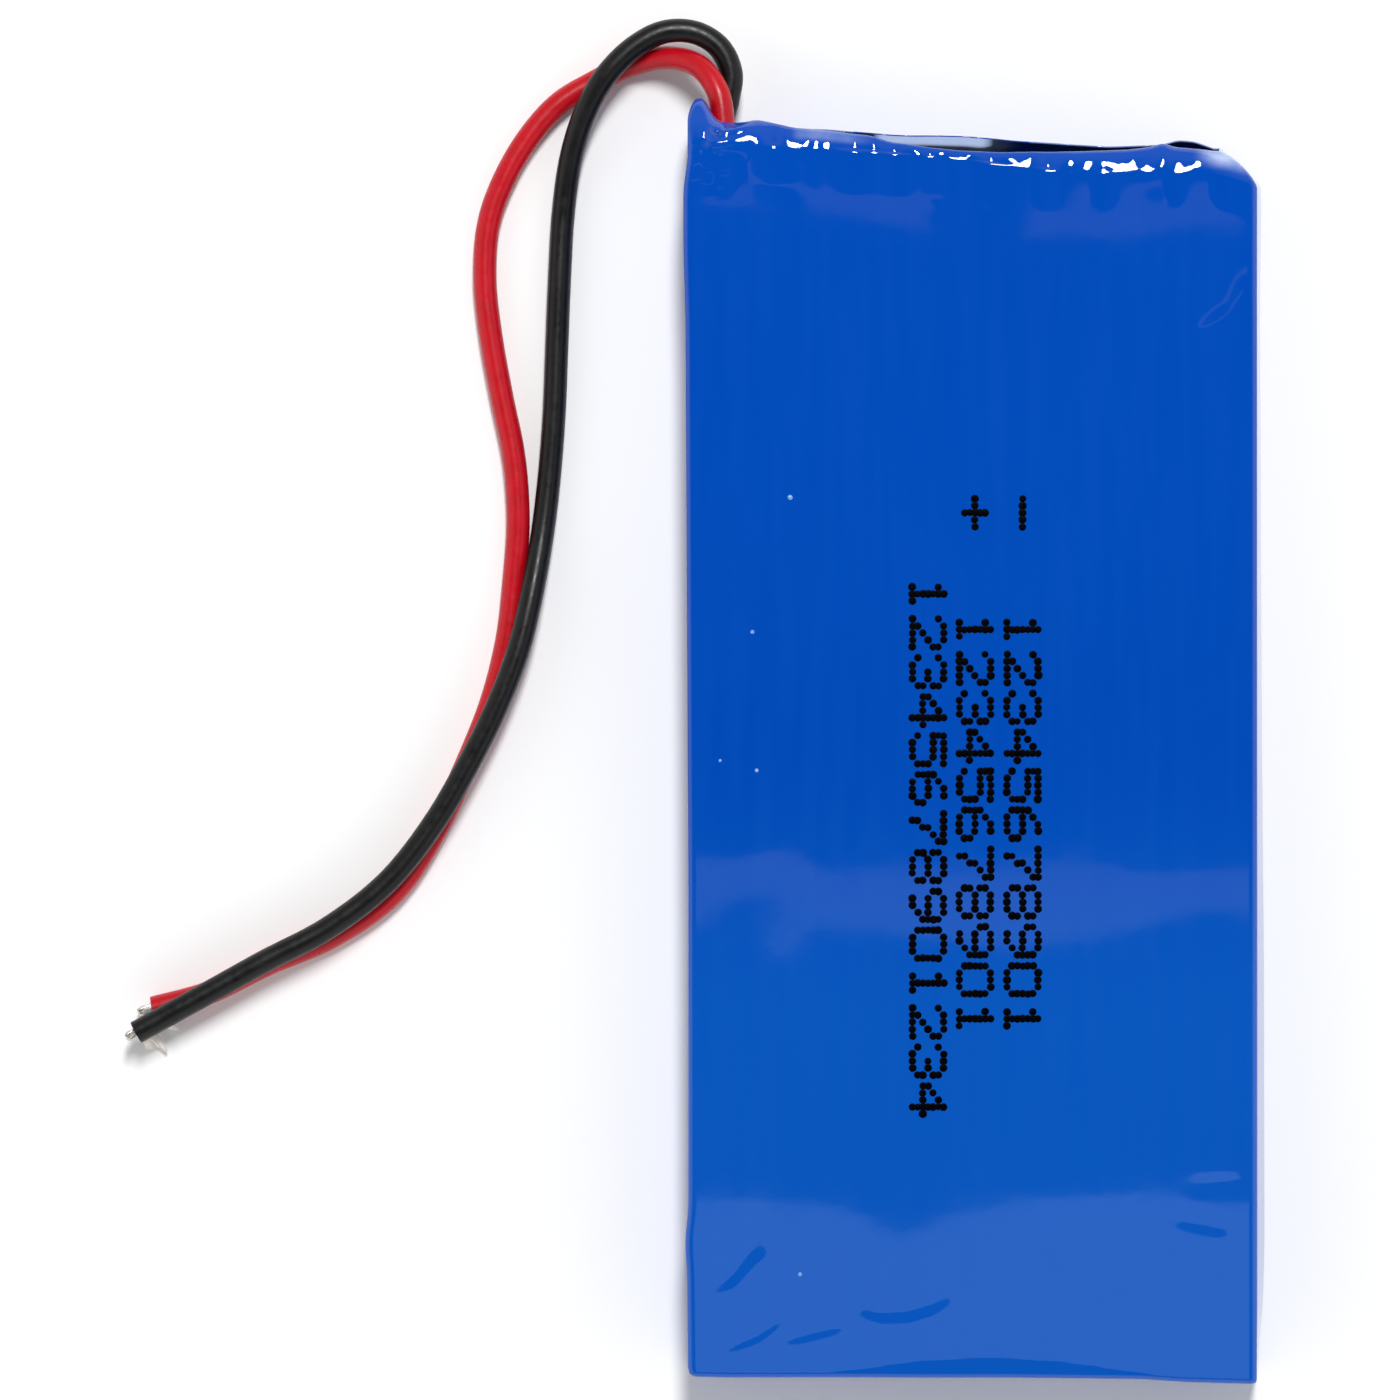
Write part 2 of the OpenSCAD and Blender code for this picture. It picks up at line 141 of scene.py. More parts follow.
def film_material(name, inside):
    """Glossy blue film, lighter towards the tail as painted light, and pale where a point attribute says so:
    a paler rim, painted highlights and, on the inner side, painted glow.
    """
    n = Nodes(name)
    n.set(Metallic=0.0, IOR=1.5)
    cloud = n.ramp(n.noise(60, 3.0), 0, 1)
    # upper is the film's own blue; lower is painted light: the same film made lighter towards the tail, where
    # more light falls
    upper = n.mix(cloud, (0.0002, 0.059, 0.400), (0.0003, 0.062, 0.415))
    lower = n.mix(cloud, (0.0020, 0.080, 0.440), (0.0022, 0.083, 0.450))
    along = n.add("ShaderNodeSeparateXYZ", {0: n.place}).outputs["Y"]
    painted_light_toward_tail = n.add(
        "ShaderNodeMapRange",
        {"Value": along, "From Min": 0.0, "From Max": -0.02},
        interpolation_type="SMOOTHSTEP",
    ).outputs["Result"]
    blue = n.mix(painted_light_toward_tail, upper, lower)
    streak = n.ramp(n.noise(1, 3.0, n.stretched((900, 60, 900))), 0, 0.06)
    blue = n.mix(streak, blue, (0.02, 0.11, 0.46))
    # pale blue for the film's rim and for the painted highlights and painted glow
    pale_rim_and_painted_light = n.mix(n.ramp(n.noise(900, 3.0), 0, 1), (0.30, 0.42, 0.74), (0.55, 0.64, 0.86))
    pale = n.attribute("pale_rim_and_painted_light")
    if inside:
        # negative values are pale on the inner side only; that strip is painted glow: pale colour and a
        # little emission standing in for light through the film
        pale = n.add("ShaderNodeMath", {0: pale}, operation="ABSOLUTE").outputs[0]
        painted_glow = n.add("ShaderNodeMapRange", {"Value": pale, "From Min": 0.82, "To Max": 0.7})
        n.to_shader(painted_glow.outputs["Result"], "Emission Strength")
        n.set(Emission_Color=(0.55, 0.68, 1.0, 1.0))
    blue = n.mix(n.add("ShaderNodeClamp", {"Value": pale}).outputs[0], blue, pale_rim_and_painted_light)
    n.to_shader(blue, "Base Color")
    n.to_shader(n.ramp(n.noise(500, 2.0), 0.02, 0.035), "Roughness")
    n.bump(n.noise(700, 2.0), 0.0000005)
    return n.material


def silicone(name, dark, light, rough):
    n = Nodes(name)
    n.set(Metallic=0.0, IOR=1.38)
    n.to_shader(n.mix(n.ramp(n.noise(700, 4.0), 0, 1), dark, light), "Base Color")
    n.to_shader(n.ramp(n.noise(1500, 2.0), rough[0], rough[1]), "Roughness")
    n.bump(n.noise(2600, 3.0), 0.00001)
    return n.material


def laminate(name, dark, light, rough):
    return finish_of(name, dark, light, 120, rough, 0.85, 0.000006, 1500)


def metal_strip(name, dark, light, rough):
    """Rolled metal, streaked along the cell."""
    return finish_of(name, dark, light, 1, rough, 1.0, 0.000004, 2, (2500, 90, 2500))


def moulded(name):
    return finish_of(name, (0.014, 0.014, 0.015), (0.03, 0.03, 0.031), 3000, (0.5, 0.7), 0, 0.000008)


FILM = film_material("blue_shrink_film", False)
FILM_INSIDE = film_material("blue_shrink_film_inside", True)
RED = silicone("red_silicone", (0.44, 0.002, 0.008), (0.52, 0.003, 0.013), (0.27, 0.4))
BLACK = silicone("black_silicone", (0.002, 0.002, 0.002), (0.005, 0.005, 0.005), (0.3, 0.45))
INK = finish_of(
    "black_ink", (0.0004, 0.0004, 0.001), (0.001, 0.001, 0.002), 3000, (0.25, 0.4), bump=0.000002, IOR=1.1
)
TIN = finish_of(
    "tinned_copper", (0.55, 0.52, 0.47), (0.80, 0.78, 0.74), 2500, (0.22, 0.42), 1.0, 0.000008
)
PALE_TIN = finish_of("pale_tin", (0.72, 0.66, 0.6), (0.88, 0.83, 0.78), 2500, (0.3, 0.5), 0.4, 0.000008)
# pale blue on the raised pimples is painted highlight, the glint these bumps catch
PAINTED_HIGHLIGHT_PIMPLE = finish_of("film_pimple_painted_highlight", (0.10, 0.25, 0.60), (0.30, 0.45, 0.85), 4000, (0.1, 0.2))
NICKEL = ((0.55, 0.53, 0.48), (0.68, 0.66, 0.6))

# Finishes of the pieces carried over from the CAD, by the end of the node's name
CAD_FINISH = {
    "cell_cup": laminate("pouch_laminate", (0.62, 0.63, 0.65), (0.74, 0.75, 0.77), (0.28, 0.4)),
    "cell_lid": laminate("pouch_laminate_flat", (0.60, 0.61, 0.63), (0.72, 0.73, 0.75), (0.3, 0.42)),
    "anode_winding": finish_of(
        "graphite", (0.020, 0.019, 0.018), (0.045, 0.042, 0.04), 900, (0.6, 0.8), 0, 0.00001
    ),
    "cathode_winding": finish_of(
        "oxide", (0.035, 0.038, 0.045), (0.07, 0.075, 0.085), 900, (0.5, 0.7), 0, 0.00001
    ),
    "separator_winding": finish_of(
        "separator", (0.78, 0.78, 0.76), (0.9, 0.9, 0.88), 400, (0.5, 0.7), 0, 0.000004
    ),
    "roll_tape": finish_of(
        "green_tape", (0.04, 0.28, 0.12), (0.07, 0.38, 0.18), 300, (0.2, 0.35), 0, 0.000004
    ),
    "positive_tab": metal_strip(
        "aluminium_strip", (0.72, 0.73, 0.75), (0.84, 0.85, 0.87), (0.2, 0.4)
    ),
    "negative_tab": metal_strip("nickel_strip", *NICKEL, (0.2, 0.38)),
    "tab_adapter": metal_strip("nickel_adapter", *NICKEL, (0.22, 0.4)),
    "tab_sealant": finish_of(
        "sealant", (0.72, 0.69, 0.6), (0.86, 0.83, 0.74), 500, (0.4, 0.6), 0, 0.000006
    ),
    "head_insulator": finish_of(
        "fish_paper", (0.05, 0.065, 0.055), (0.085, 0.10, 0.09), 1, (0.7, 0.9), 0, 0.00001, 2,
        (1400, 500, 900),
    ),
    "cell_bond_tape": finish_of(
        "tissue_tape", (0.7, 0.7, 0.68), (0.84, 0.84, 0.82), 700, (0.7, 0.9), 0, 0.00001
    ),
    "protection_board": finish_of(
        "solder_mask", (0.012, 0.10, 0.04), (0.02, 0.15, 0.06), 400, (0.2, 0.35), 0, 0.000005
    ),
    "board_pads": finish_of(
        "gold_flash", (0.78, 0.55, 0.18), (0.88, 0.68, 0.3), 900, (0.2, 0.35), 1.0, 0.000003
    ),
    "protection_ic": moulded("moulded_chip"),
    "mosfets": moulded("moulded_pair"),
    "chip_resistors": finish_of(
        "resistor_glaze", (0.02, 0.02, 0.024), (0.05, 0.05, 0.056), 2500, (0.2, 0.4), 0, 0.000004
    ),
    "chip_capacitors": finish_of(
        "capacitor", (0.38, 0.26, 0.15), (0.55, 0.4, 0.25), 2500, (0.4, 0.6), 0, 0.000004
    ),
    "solder_joints": finish_of(
        "solder", (0.5, 0.51, 0.53), (0.72, 0.73, 0.75), 1500, (0.12, 0.3), 1.0, 0.00001
    ),
    "inner_end": TIN,
}
for node_name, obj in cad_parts.items():
    for ending, material in CAD_FINISH.items():
        if node_name.endswith(ending):
            obj.data.materials.clear()
            obj.data.materials.append(material)
            for polygon in obj.data.polygons:
                polygon.material_index = 0

# ---------------------------------------------------------------- leads

# Centre lines in mm, from inside the sleeve to the cut ends; the red lead lies on the floor
RED_ROUTE = [
    (-18, 42.1, 4.85), (-18, 45, 4.85), (-18.4, 47.2, 4.6), (-19.8, 49.1, 3.6), (-22.2, 49.8, 2),
    (-24.8, 49.3, 1.1), (-27.3, 48.1, 0.9), (-29.8, 46.6, 0.9), (-31.9, 44.3, 0.9), (-33.7, 41.3, 0.9),
    (-34.9, 38, 0.9), (-35.2, 34, 0.9), (-34.8, 30, 0.9), (-34, 25.5, 0.9), (-33.1, 21, 0.9),
    (-32.8, 16.5, 0.9), (-33.1, 12, 0.9), (-33.6, 7.8, 0.9), (-34.8, 3.1, 0.9), (-36.7, -1.6, 0.9),
    (-38.8, -6.1, 0.9), (-41.9, -10.6, 0.9), (-46.3, -13.7, 0.9), (-51, -15.7, 0.9), (-55.2, -17.75, 0.9),
    (-59.2, -18.85, 0.9),
]
BLACK_ROUTE = [
    (-18, 42.1, 3.05), (-18, 45, 3.05), (-17.6, 46.8, 3), (-17.4, 48.6, 3), (-18.2, 50.4, 3),
    (-19.9, 51.5, 3), (-22.1, 51.6, 3), (-24.2, 50.6, 3), (-26.3, 48.6, 2.9), (-27.8, 46.1, 2.4),
    (-28.9, 42.9, 1.5), (-29.5, 39, 0.9), (-29.8, 34, 0.9), (-30, 29, 0.9), (-30.2, 24, 0.9),
    (-30.6, 19, 0.9), (-31.1, 15, 1.2), (-31.8, 11, 2.1), (-32.7, 7.2, 2.5), (-34.2, 3.2, 2.6),
    (-36.3, -1.1, 2.6), (-39, -5.7, 2.6), (-42.3, -9.8, 2.6), (-46.6, -13.1, 2.6), (-51, -15.4, 2.6),
    (-55.5, -17.9, 2.6), (-60.3, -20.55, 2.6),
]
LEAD_D = 1.7
STRAND_R = 0.14
STRAND_PITCH = 0.25


def handles(points):
    """Bezier handles of the centripetal Catmull-Rom curve through the points."""
    ends = [2 * points[0] - points[1]] + points + [2 * points[-1] - points[-2]]
    result = []
    for before, here, after in zip(ends, ends[1:], ends[2:]):
        a = (here - before).length ** 0.5
        b = (after - here).length ** 0.5
        slope = (here - before) / a - (after - before) / (a + b) + (after - here) / b
        result.append((here - slope * a / 3, here + slope * b / 3))
    return result


def make_lead(name, route, material, cad_node):
    points = [Vector(p) * MM for p in route]
    sides = handles(points)
    curve = bpy.data.curves.new(name, "CURVE")
    curve.dimensions = "3D"
    curve.resolution_u = 10
    curve.bevel_depth = LEAD_D / 2 * MM
    curve.bevel_resolution = 6
    curve.use_fill_caps = True
    spline = curve.splines.new("BEZIER")
    spline.bezier_points.add(len(points) - 1)
    for bp, p, (left, right) in zip(spline.bezier_points, points, sides):
        bp.co = p
        bp.handle_left_type = bp.handle_right_type = "FREE"
        bp.handle_left = left
        bp.handle_right = right
    curve.materials.append(material)
    obj = bpy.data.objects.new(name, curve)
    scene.collection.objects.link(obj)
    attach(obj, "root")
    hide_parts(cad_node)
    tuple(points[0])


def to_object(name, verts, faces, material, slot_name=None):
    """A smooth-shaded mesh object on the root body, from vertices in mm."""
    mesh = bpy.data.meshes.new(name)
    mesh.from_pydata([tuple(float(c) * MM for c in v) for v in verts], [], faces)
    mesh.materials.append(material)
    mesh.shade_smooth()
    mesh.update()
    obj = bpy.data.objects.new(name, mesh)
    scene.collection.objects.link(obj)
    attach(obj, "root")
    return obj


def tube(path, radii, sides=8):
    """A closed tube along points, with a radius at each."""
    verts, faces = [], []
    for i, p in enumerate(path):
        along = (path[min(i + 1, len(path) - 1)] - path[max(i - 1, 0)]).normalized()
        side = along.cross(Vector((0, 0, 1))).normalized()
        up = side.cross(along)
        for k in range(sides):
            a = 2 * math.pi * k / sides
            verts.append(p + (side * math.cos(a) + up * math.sin(a)) * radii[i])
    for i in range(len(path) - 1):
        for k in range(sides):
            n = (k + 1) % sides
            faces.append((i * sides + k, i * sides + n, (i + 1) * sides + n, (i + 1) * sides + k))
    faces.append(tuple(range(sides))[::-1])
    faces.append(tuple((len(path) - 1) * sides + k for k in range(sides)))
    return verts, faces


def merged(parts):
    """Several (vertices, faces) as one."""
    verts, faces = [], []
    for part_verts, part_faces in parts:
        faces += [tuple(i + len(verts) for i in face) for face in part_faces]
        verts += part_verts
    return verts, faces


def strand_bundle(name, end, direction, length, cad_node):
    """Twisted, tinned strands: one core with six round it."""
    direction = Vector(direction).normalized()
    side = direction.cross(Vector((0, 0, 1))).normalized()
    up = side.cross(direction)
    strands = []
    for strand in range(7):
        from_core = 0 if strand == 0 else STRAND_PITCH
        reach = length * (1 + 0.08 * math.sin(strand * 2.3))
        path = []
        for i in range(9):
            t = i / 8
            a = strand * math.pi / 3 + 0.9 * t
            around = (side * math.cos(a) + up * math.sin(a)) * from_core
            path.append(Vector(end) + direction * (reach * t - 0.25) + around)
        strands.append(tube(path, [STRAND_R] * 8 + [0.09]))
    obj = to_object(name, *merged(strands), TIN, "tinned_copper")
    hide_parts(cad_node)
    return obj


def splayed_strands():
    """A few tinned strands of the red lead, bent back under the black one."""
    strands = []
    for i in range(9):
        s = i - 4
        path = [
            (-59.3, -18.8, 0.9), (-59.75, -19.3, 0.85), (-59.8 + 0.05 * s, -20.2, 0.7),
            (-59.4 + 0.12 * s, -21.0, 0.55),
            (-58.9 + 0.16 * s, -21.6 - 0.1 * abs(s), 0.4 + 0.05 * (i % 3)),
        ]
        strands.append(tube([Vector(p) for p in path], [0.1, 0.13, 0.15, 0.16, 0.12]))
    for i in range(5):
        path = [
            (-59.0, -18.9, 0.5), (-58.6 + 0.05 * i, -19.6, 0.45),
            (-57.9 + 0.12 * i, -20.4, 0.35 + 0.05 * (i % 2)),
        ]
        strands.append(tube([Vector(p) for p in path], [0.1, 0.14, 0.11]))
    return to_object("red_strand_splay", *merged(strands), PALE_TIN, "tinned_copper")


red_tip = strand_bundle("red_tinned_strands", RED_ROUTE[-1], (-4, -1.3, 0), 1.3, "red_lead_tip")
black_tip = strand_bundle("black_tinned_strands", BLACK_ROUTE[-1], (-4.5, -2.5, 0), 1.0, "black_lead_tip")
splay = splayed_strands()
make_lead("red_lead_insulation", RED_ROUTE, RED, "red_lead")
make_lead("black_lead_insulation", BLACK_ROUTE, BLACK, "black_lead")

# ---------------------------------------------------------------- sleeve

# All in mm. x is across the sleeve, y runs to the head, z is up from the floor.
THICKNESS = 7.9
LEFT = -20.45
RIGHT = 20.15
CORNER = 0.45
WALL = 0.09
TAIL_BEND_Y = 0.4
TAIL_BEND_Z = 0.45
TAIL_FLAP = 2.4
BODY_START = -43.7
BODY_LENGTH = 68.4
BODY_END = BODY_START + BODY_LENGTH
DENTED_LENGTH = 13.5
HEAD_FLAT_END = 41.0
HEAD_RINGS = 64
FLAT_SHARE = 0.55
CURL_SHARE = 0.45
CURL = math.radians(84)


def smooth(a, b, x):
    t = np.clip((np.asarray(x, float) - a) / (b - a), 0, 1)
    return t * t * (3 - 2 * t)


def table(pairs, blur=0.5):
    """A smooth function through (place, value) pairs, which were rounded and listed."""
    xs = np.array([p[0] for p in pairs], float)
    ys = np.array([p[1] for p in pairs], float)
    taps = np.linspace(-1, 1, 7) * blur

    def f(x):
        x = np.asarray(x, float)
        return sum(np.interp(x + t, xs, ys) for t in taps) / len(taps)

    return f


def clouds(x, y, size, seed):
    """Smooth noise of about that size in mm."""
    flat = [noise.noise(Vector((a / size, b / size, seed))) for a, b in zip(np.ravel(x), np.ravel(y))]
    return np.array(flat).reshape(np.shape(x))


def stroke(x, y, points, width):
    """1 on a line through the points, falling off across it and fading at its two ends."""
    best = np.full(np.shape(x), 1e9)
    along = np.zeros(np.shape(x))
    count = len(points) - 1
    for i, ((ax, ay), (bx, by)) in enumerate(zip(points, points[1:])):
        dx, dy = bx - ax, by - ay
        t = np.clip(((x - ax) * dx + (y - ay) * dy) / (dx * dx + dy * dy), 0, 1)
        far = (x - ax - t * dx) ** 2 + (y - ay - t * dy) ** 2
        along = np.where(far < best, (i + t) / count, along)
        best = np.minimum(best, far)
    return np.exp(-best / (2 * width ** 2)) * (0.35 + 0.65 * np.sin(math.pi * along) ** 0.5)


def blob(x, y, cx, cy, sx, sy):
    """A soft round hill, 1 at its middle."""
    return np.exp(-(((x - cx) / sx) ** 2 + ((y - cy) / sy) ** 2) / 2)


# Head of the sleeve: where the upper film starts to bend, where its edge is, and how far it drops
bend_y = table([
    (-20.5, 42.2), (-19, 42.5), (-17.5, 42.8), (-15.5, 42.85), (-12.4, 42.7), (-9, 42.5), (-5, 42.3),
    (-1.6, 42.05), (1, 41.7), (3.5, 41.3), (7.3, 40.9), (12, 40.8), (16, 40.95), (18, 40.6), (20.5, 39.9),
])
edge_y = table([
    (-20.5, 45.7), (-20.1, 46.4), (-19.6, 46.75), (-19.2, 46.4), (-18.8, 45.4), (-18.2, 44.85), (-17.4, 44.8),
    (-16.6, 44.8), (-15.6, 45.0), (-14.6, 44.8), (-13, 44.4), (-10, 44.1), (-7.5, 43.8),
    (-6, 43.35), (-3, 42.9),
    (-1, 42.7), (2, 42.6), (7, 42.65), (11, 42.8), (12.6, 43.0), (13.4, 43.3), (14.2, 43.0), (15.5, 42.9),
    (17.5, 42.7), (20.5, 42.3),
], 0.3)
drop = table([
    (-20.5, 2.8), (-19, 2.4), (-17.5, 1.9), (-15.8, 1.6), (-14.5, 1.2), (-12, 0.8), (-8, 0.7),
    (-5, 0.45), (-1, 0.4),
    (1, 0.5), (3.5, 0.5), (7.3, 0.75), (12, 1.0), (16, 1.2), (18, 1.8), (20.5, 2.2),
])
# The same for the lower film, which rises, and how far its last part leans out
low_bend_y = table([
    (-20.5, 42.5), (-15.5, 42.5), (-13, 42.3), (-8, 42.2), (-1, 41.9), (2, 41.8), (9, 41.5),
    (14, 41.6), (20.5, 40.4),
])
low_edge_y = table([
    (-20.5, 44.9), (-16.5, 44.7), (-14, 44.6), (-11, 44.45), (-8, 44.2), (-6, 44.0),
    (-4.3, 43.95), (-0.7, 43.9),
    (1.1, 43.75), (3, 43.65), (6, 43.5), (9.5, 43.25), (12.5, 43.3), (13.3, 43.35), (14.4, 43.7),
    (15.6, 43.6),
    (17, 43.1), (18.5, 42.5), (20.5, 42.4),
], 0.3)
low_rise = table([
    (-20.5, 1.5), (-16.3, 1.6), (-14.8, 3.4), (-12, 4.6), (-8, 5.2), (-2, 5.5), (1.5, 5.3),
    (3.5, 4.0), (8, 3.7),
    (11.5, 4.4), (13, 4.6), (14, 4.2), (20.5, 3.8),
])
low_lean = table([(-20.5, 0), (-8.5, 0.1), (-6, 0.75), (0.5, 0.9), (2.0, 0.6), (3.5, 0), (20.5, 0)], 0.3)
# Puckers across the head: flat where the film faces the light, notched between
pucker = table([
    (-20.5, 1.5), (-17.5, 0.5), (-16.1, 0.05), (-15.8, 0), (-15.3, 0), (-14.4, -0.5), (-13.5, 0), (-12, 0.05),
    (-11.4, -0.25), (-10.8, 0), (-10.3, 0), (-8.6, -0.95), (-7.2, -0.3), (-5.6, -0.85), (-4.2, 0), (-3.7, 0),
    (-3.2, -0.2), (-2.7, 0), (-0.5, 0), (1.2, -0.7), (2.9, 0), (4.0, 0.03), (5.1, -0.45),
    (6.3, 0), (8.3, 0.06),
    (9.1, -0.35), (10.1, 0), (13.5, 0.1), (14.2, -0.2), (15.1, 0), (16.8, 0.05), (18, -0.3), (20.5, -0.6),
], 0.15)
# Tail of the sleeve: the edge seen from above
tail_edge_y = table([
    (-20.5, -44.95), (-18, -45.02), (-11, -45.02), (-9, -45.02), (-4, -45.05), (3, -45.05), (12, -45.15),
    (15, -45.35), (20.5, -45.5),
])
# Along the sleeve: how far the lower film stands out on the right, and the half width on the left
lower_shift = table([
    (-50, 0.4), (-43.5, 0.6), (-41, 1.0), (-36, 1.15), (-15, 1.1), (0, 0.95), (20, 0.85), (32, 0.8),
    (40, 0.9), (43, 0.75), (50, 0.6),
], 1.5)
left_w = table([
    (-50, 20.45), (-37, 20.6), (-35, 20.75), (-33, 20.5), (-10, 20.5), (10, 20.6), (30, 20.7),
    (35, 20.85), (39, 20.85),
    (41, 20.5), (50, 20.35),
], 0.8)


def top_relief(x, y):
    """Height added to the upper film: slow waves, small dents and creases."""
    z = 0.030 * clouds(x, y, 19, 3.1) + 0.0050 * clouds(x, y, 6.5, 9.4)
    z += 0.015 * blob(x, y, -5.2, -38.2, 2.6, 3.0) + 0.012 * blob(x, y, -16.5, -9.5, 2.2, 4.0)
    z += -0.014 * blob(x, y, -14.0, -11.5, 1.6, 3.0) + 0.008 * blob(x, y, 17.5, -11.0, 2.5, 3.0)
    # dents near the tail
    z += -0.012 * stroke(x, y, [(-15.6, -33.8), (-16.1, -36.0), (-17.2, -37.6), (-19.0, -38.6)], 0.48)
    z += -0.018 * stroke(x, y, [(-13.8, -40.6), (-15.6, -41.9), (-17.8, -42.8)], 0.30)
    z += -0.018 * stroke(x, y, [(-9.5, -41.2), (-13.5, -42.2)], 0.28)
    z += -0.026 * stroke(
        x, y, [(-1.8, -38.8), (-3.2, -39.6), (-4.8, -40.1), (-6.6, -40.2), (-8.2, -39.8)], 0.48
    )
    z += -0.008 * stroke(x, y, [(14.4, -33.6), (17.0, -34.1), (18.0, -34.3)], 0.4)
    z += -0.006 * stroke(x, y, [(15.5, -31.2), (19.0, -31.0)], 0.4)
    # creases below the head's bend
    z += 0.10 * stroke(x, y, [(-19.5, 41.9), (-18.9, 41.5), (-18.3, 41.3)], 0.22)
    z += 0.09 * stroke(x, y, [(-19.4, 40.9), (-18.5, 40.6), (-17.6, 40.5)], 0.22)
    z += 0.012 * stroke(x, y, [(-15.5, 40.9), (-12.8, 40.0)], 0.6)
    z += 0.010 * stroke(x, y, [(-3.0, 39.6), (0.8, 39.0)], 0.35)
    z += 0.03 * stroke(x, y, [(16.0, 29.3), (18.4, 31.0), (19.5, 33.2)], 0.5)
    z += -0.02 * stroke(x, y, [(-9.0, 29.0), (-8.0, 28.8)], 0.4)
    z += 0.016 * stroke(x, y, [(-15.3, -36.4), (-17.4, -38.9)], 0.3)
    # the folded crescent at the tail
    crest = -43.35 - 0.0105 * (x - 1.0) ** 2
    z += -0.055 * np.clip(crest - y, 0, 1.7) * smooth(14, 10, abs(x - 0.5))
    return z


def head_relief(x, y, run, t):
    """Height added where the upper film is gathered: run goes up to the bend, t from there to the edge."""
    z = 0.34 * pucker(x) * (0.4 * smooth(0.86, 1, run) + 0.6 * smooth(0, 0.3, t))
    z += t * 0.05 * np.sin(2 * math.pi * x / 2.3 + 1.9)
    z += t * 0.10 * clouds(x, y, 1.6, 5.5)
    z += -0.55 * stroke(x, y, [(-18.5, 43.8), (-18.4, 43.9)], 0.30)
    z += 0.22 * stroke(x, y, [(-18.1, 44.0), (-17.4, 44.2), (-16.3, 44.5)], 0.20)
    z += -0.18 * stroke(x, y, [(-17.8, 44.6), (-16.8, 44.8)], 0.22)
    z += 0.16 * stroke(x, y, [(-19.6, 42.6), (-19.3, 43.6), (-19.2, 45.0)], 0.25)
    z += -0.12 * stroke(x, y, [(-14.5, 44.4), (-14.2, 43.2)], 0.3)
    return z


def columns():
    """The sleeve's ring: which stretch each column is on, and how far along it, from 0 to 1."""
    def corner(name):
        return [(name, v) for v in np.linspace(0, 1, 9)[1:-1]]

    def side(name):
        return [(name, v) for v in np.linspace(0, 1, 16)]

    top = [("top", v) for v in np.linspace(0, 1, 168)]
    low = [("low", v) for v in np.linspace(1, 0, 124)]
    right_side = corner("tr") + side("right") + corner("br")
    left_side = corner("bl") + side("left") + corner("tl")
    return top + right_side + low + left_side


COLUMNS = columns()
KIND = np.array([c[0] for c in COLUMNS])
PART = np.array([c[1] for c in COLUMNS])
NOT_PALE = np.zeros(len(COLUMNS))


def ring(x_left, x_right, y_top, z_top, y_low, z_low):
    """One ring of the sleeve. y_top, z_top, y_low and z_low are functions of x."""
    x, y, z = np.zeros((3, len(COLUMNS)))
    a, b = x_left + CORNER, x_right - CORNER
    for kind, fy, fz in (("top", y_top, z_top), ("low", y_low, z_low)):
        m = KIND == kind
        xs = a + (b - a) * PART[m]
        x[m], y[m], z[m] = xs, fy(xs), fz(xs)

    def at(f, place):
        return float(f(np.array([place]))[0])

    quarter = math.pi / 2
    for name, centre_x, upper, start in (
        ("tr", b, True, quarter), ("br", b, False, 0),
        ("bl", a, False, -quarter), ("tl", a, True, 2 * quarter),
    ):
        m = KIND == name
        angle = start - PART[m] * quarter
        level = at(z_top, centre_x) - CORNER if upper else at(z_low, centre_x) + CORNER
        x[m] = centre_x + CORNER * np.cos(angle)
        z[m] = level + CORNER * np.sin(angle)
        y[m] = at(y_top if upper else y_low, centre_x)
    for name, centre_x, edge, upwards in (("right", b, x_right, False), ("left", a, x_left, True)):
        m = KIND == name
        high, low = at(z_top, centre_x) - CORNER, at(z_low, centre_x) + CORNER
        high_y, low_y = at(y_top, centre_x), at(y_low, centre_x)
        t = 1 - PART[m] if upwards else PART[m]
        x[m] = edge
        z[m] = high + (low - high) * t
        y[m] = high_y + (low_y - high_y) * t
    return x, y, z


def tail_rings():
    """The flap on the end face, then the bend onto the upper and lower film."""
    for j in range(7):
        f = 1 - j / 7
        inset = TAIL_BEND_Z + TAIL_FLAP * f

        def wrinkled(xs, seed):
            wave = -0.07 * f * (1 + np.sin(2 * math.pi * xs / 3.1 + seed))
            return tail_edge_y(xs) + (wave - 0.08 * f * np.abs(clouds(xs, xs * 0, 1.7, seed)))

        yield *ring(
            LEFT + 0.5 + 1.6 * f, RIGHT - 0.2 - 1.6 * f,
            lambda xs: wrinkled(xs, 1.0), lambda xs: THICKNESS - inset + 0.12 * f * np.sin(xs / 2.7),
            lambda xs: wrinkled(xs, 4.0), lambda xs: inset + 0.12 * f * np.sin(xs / 3.3 + 2),
        ), NOT_PALE
    for j in range(12):
        a = math.pi / 2 * (1 - j / 11)
        inset = TAIL_BEND_Z * (1 - math.cos(a))
        reach = TAIL_BEND_Y * (1 - math.sin(a))

        def y_of(xs):
            return tail_edge_y(xs) + reach

        yield *ring(
            LEFT + 0.5 * (1 - math.cos(a)), RIGHT - 0.2 * (1 - math.cos(a)),
            y_of, lambda xs: THICKNESS - inset + top_relief(xs, y_of(xs)),
            y_of, lambda xs: np.full(np.shape(xs), inset),
        ), NOT_PALE


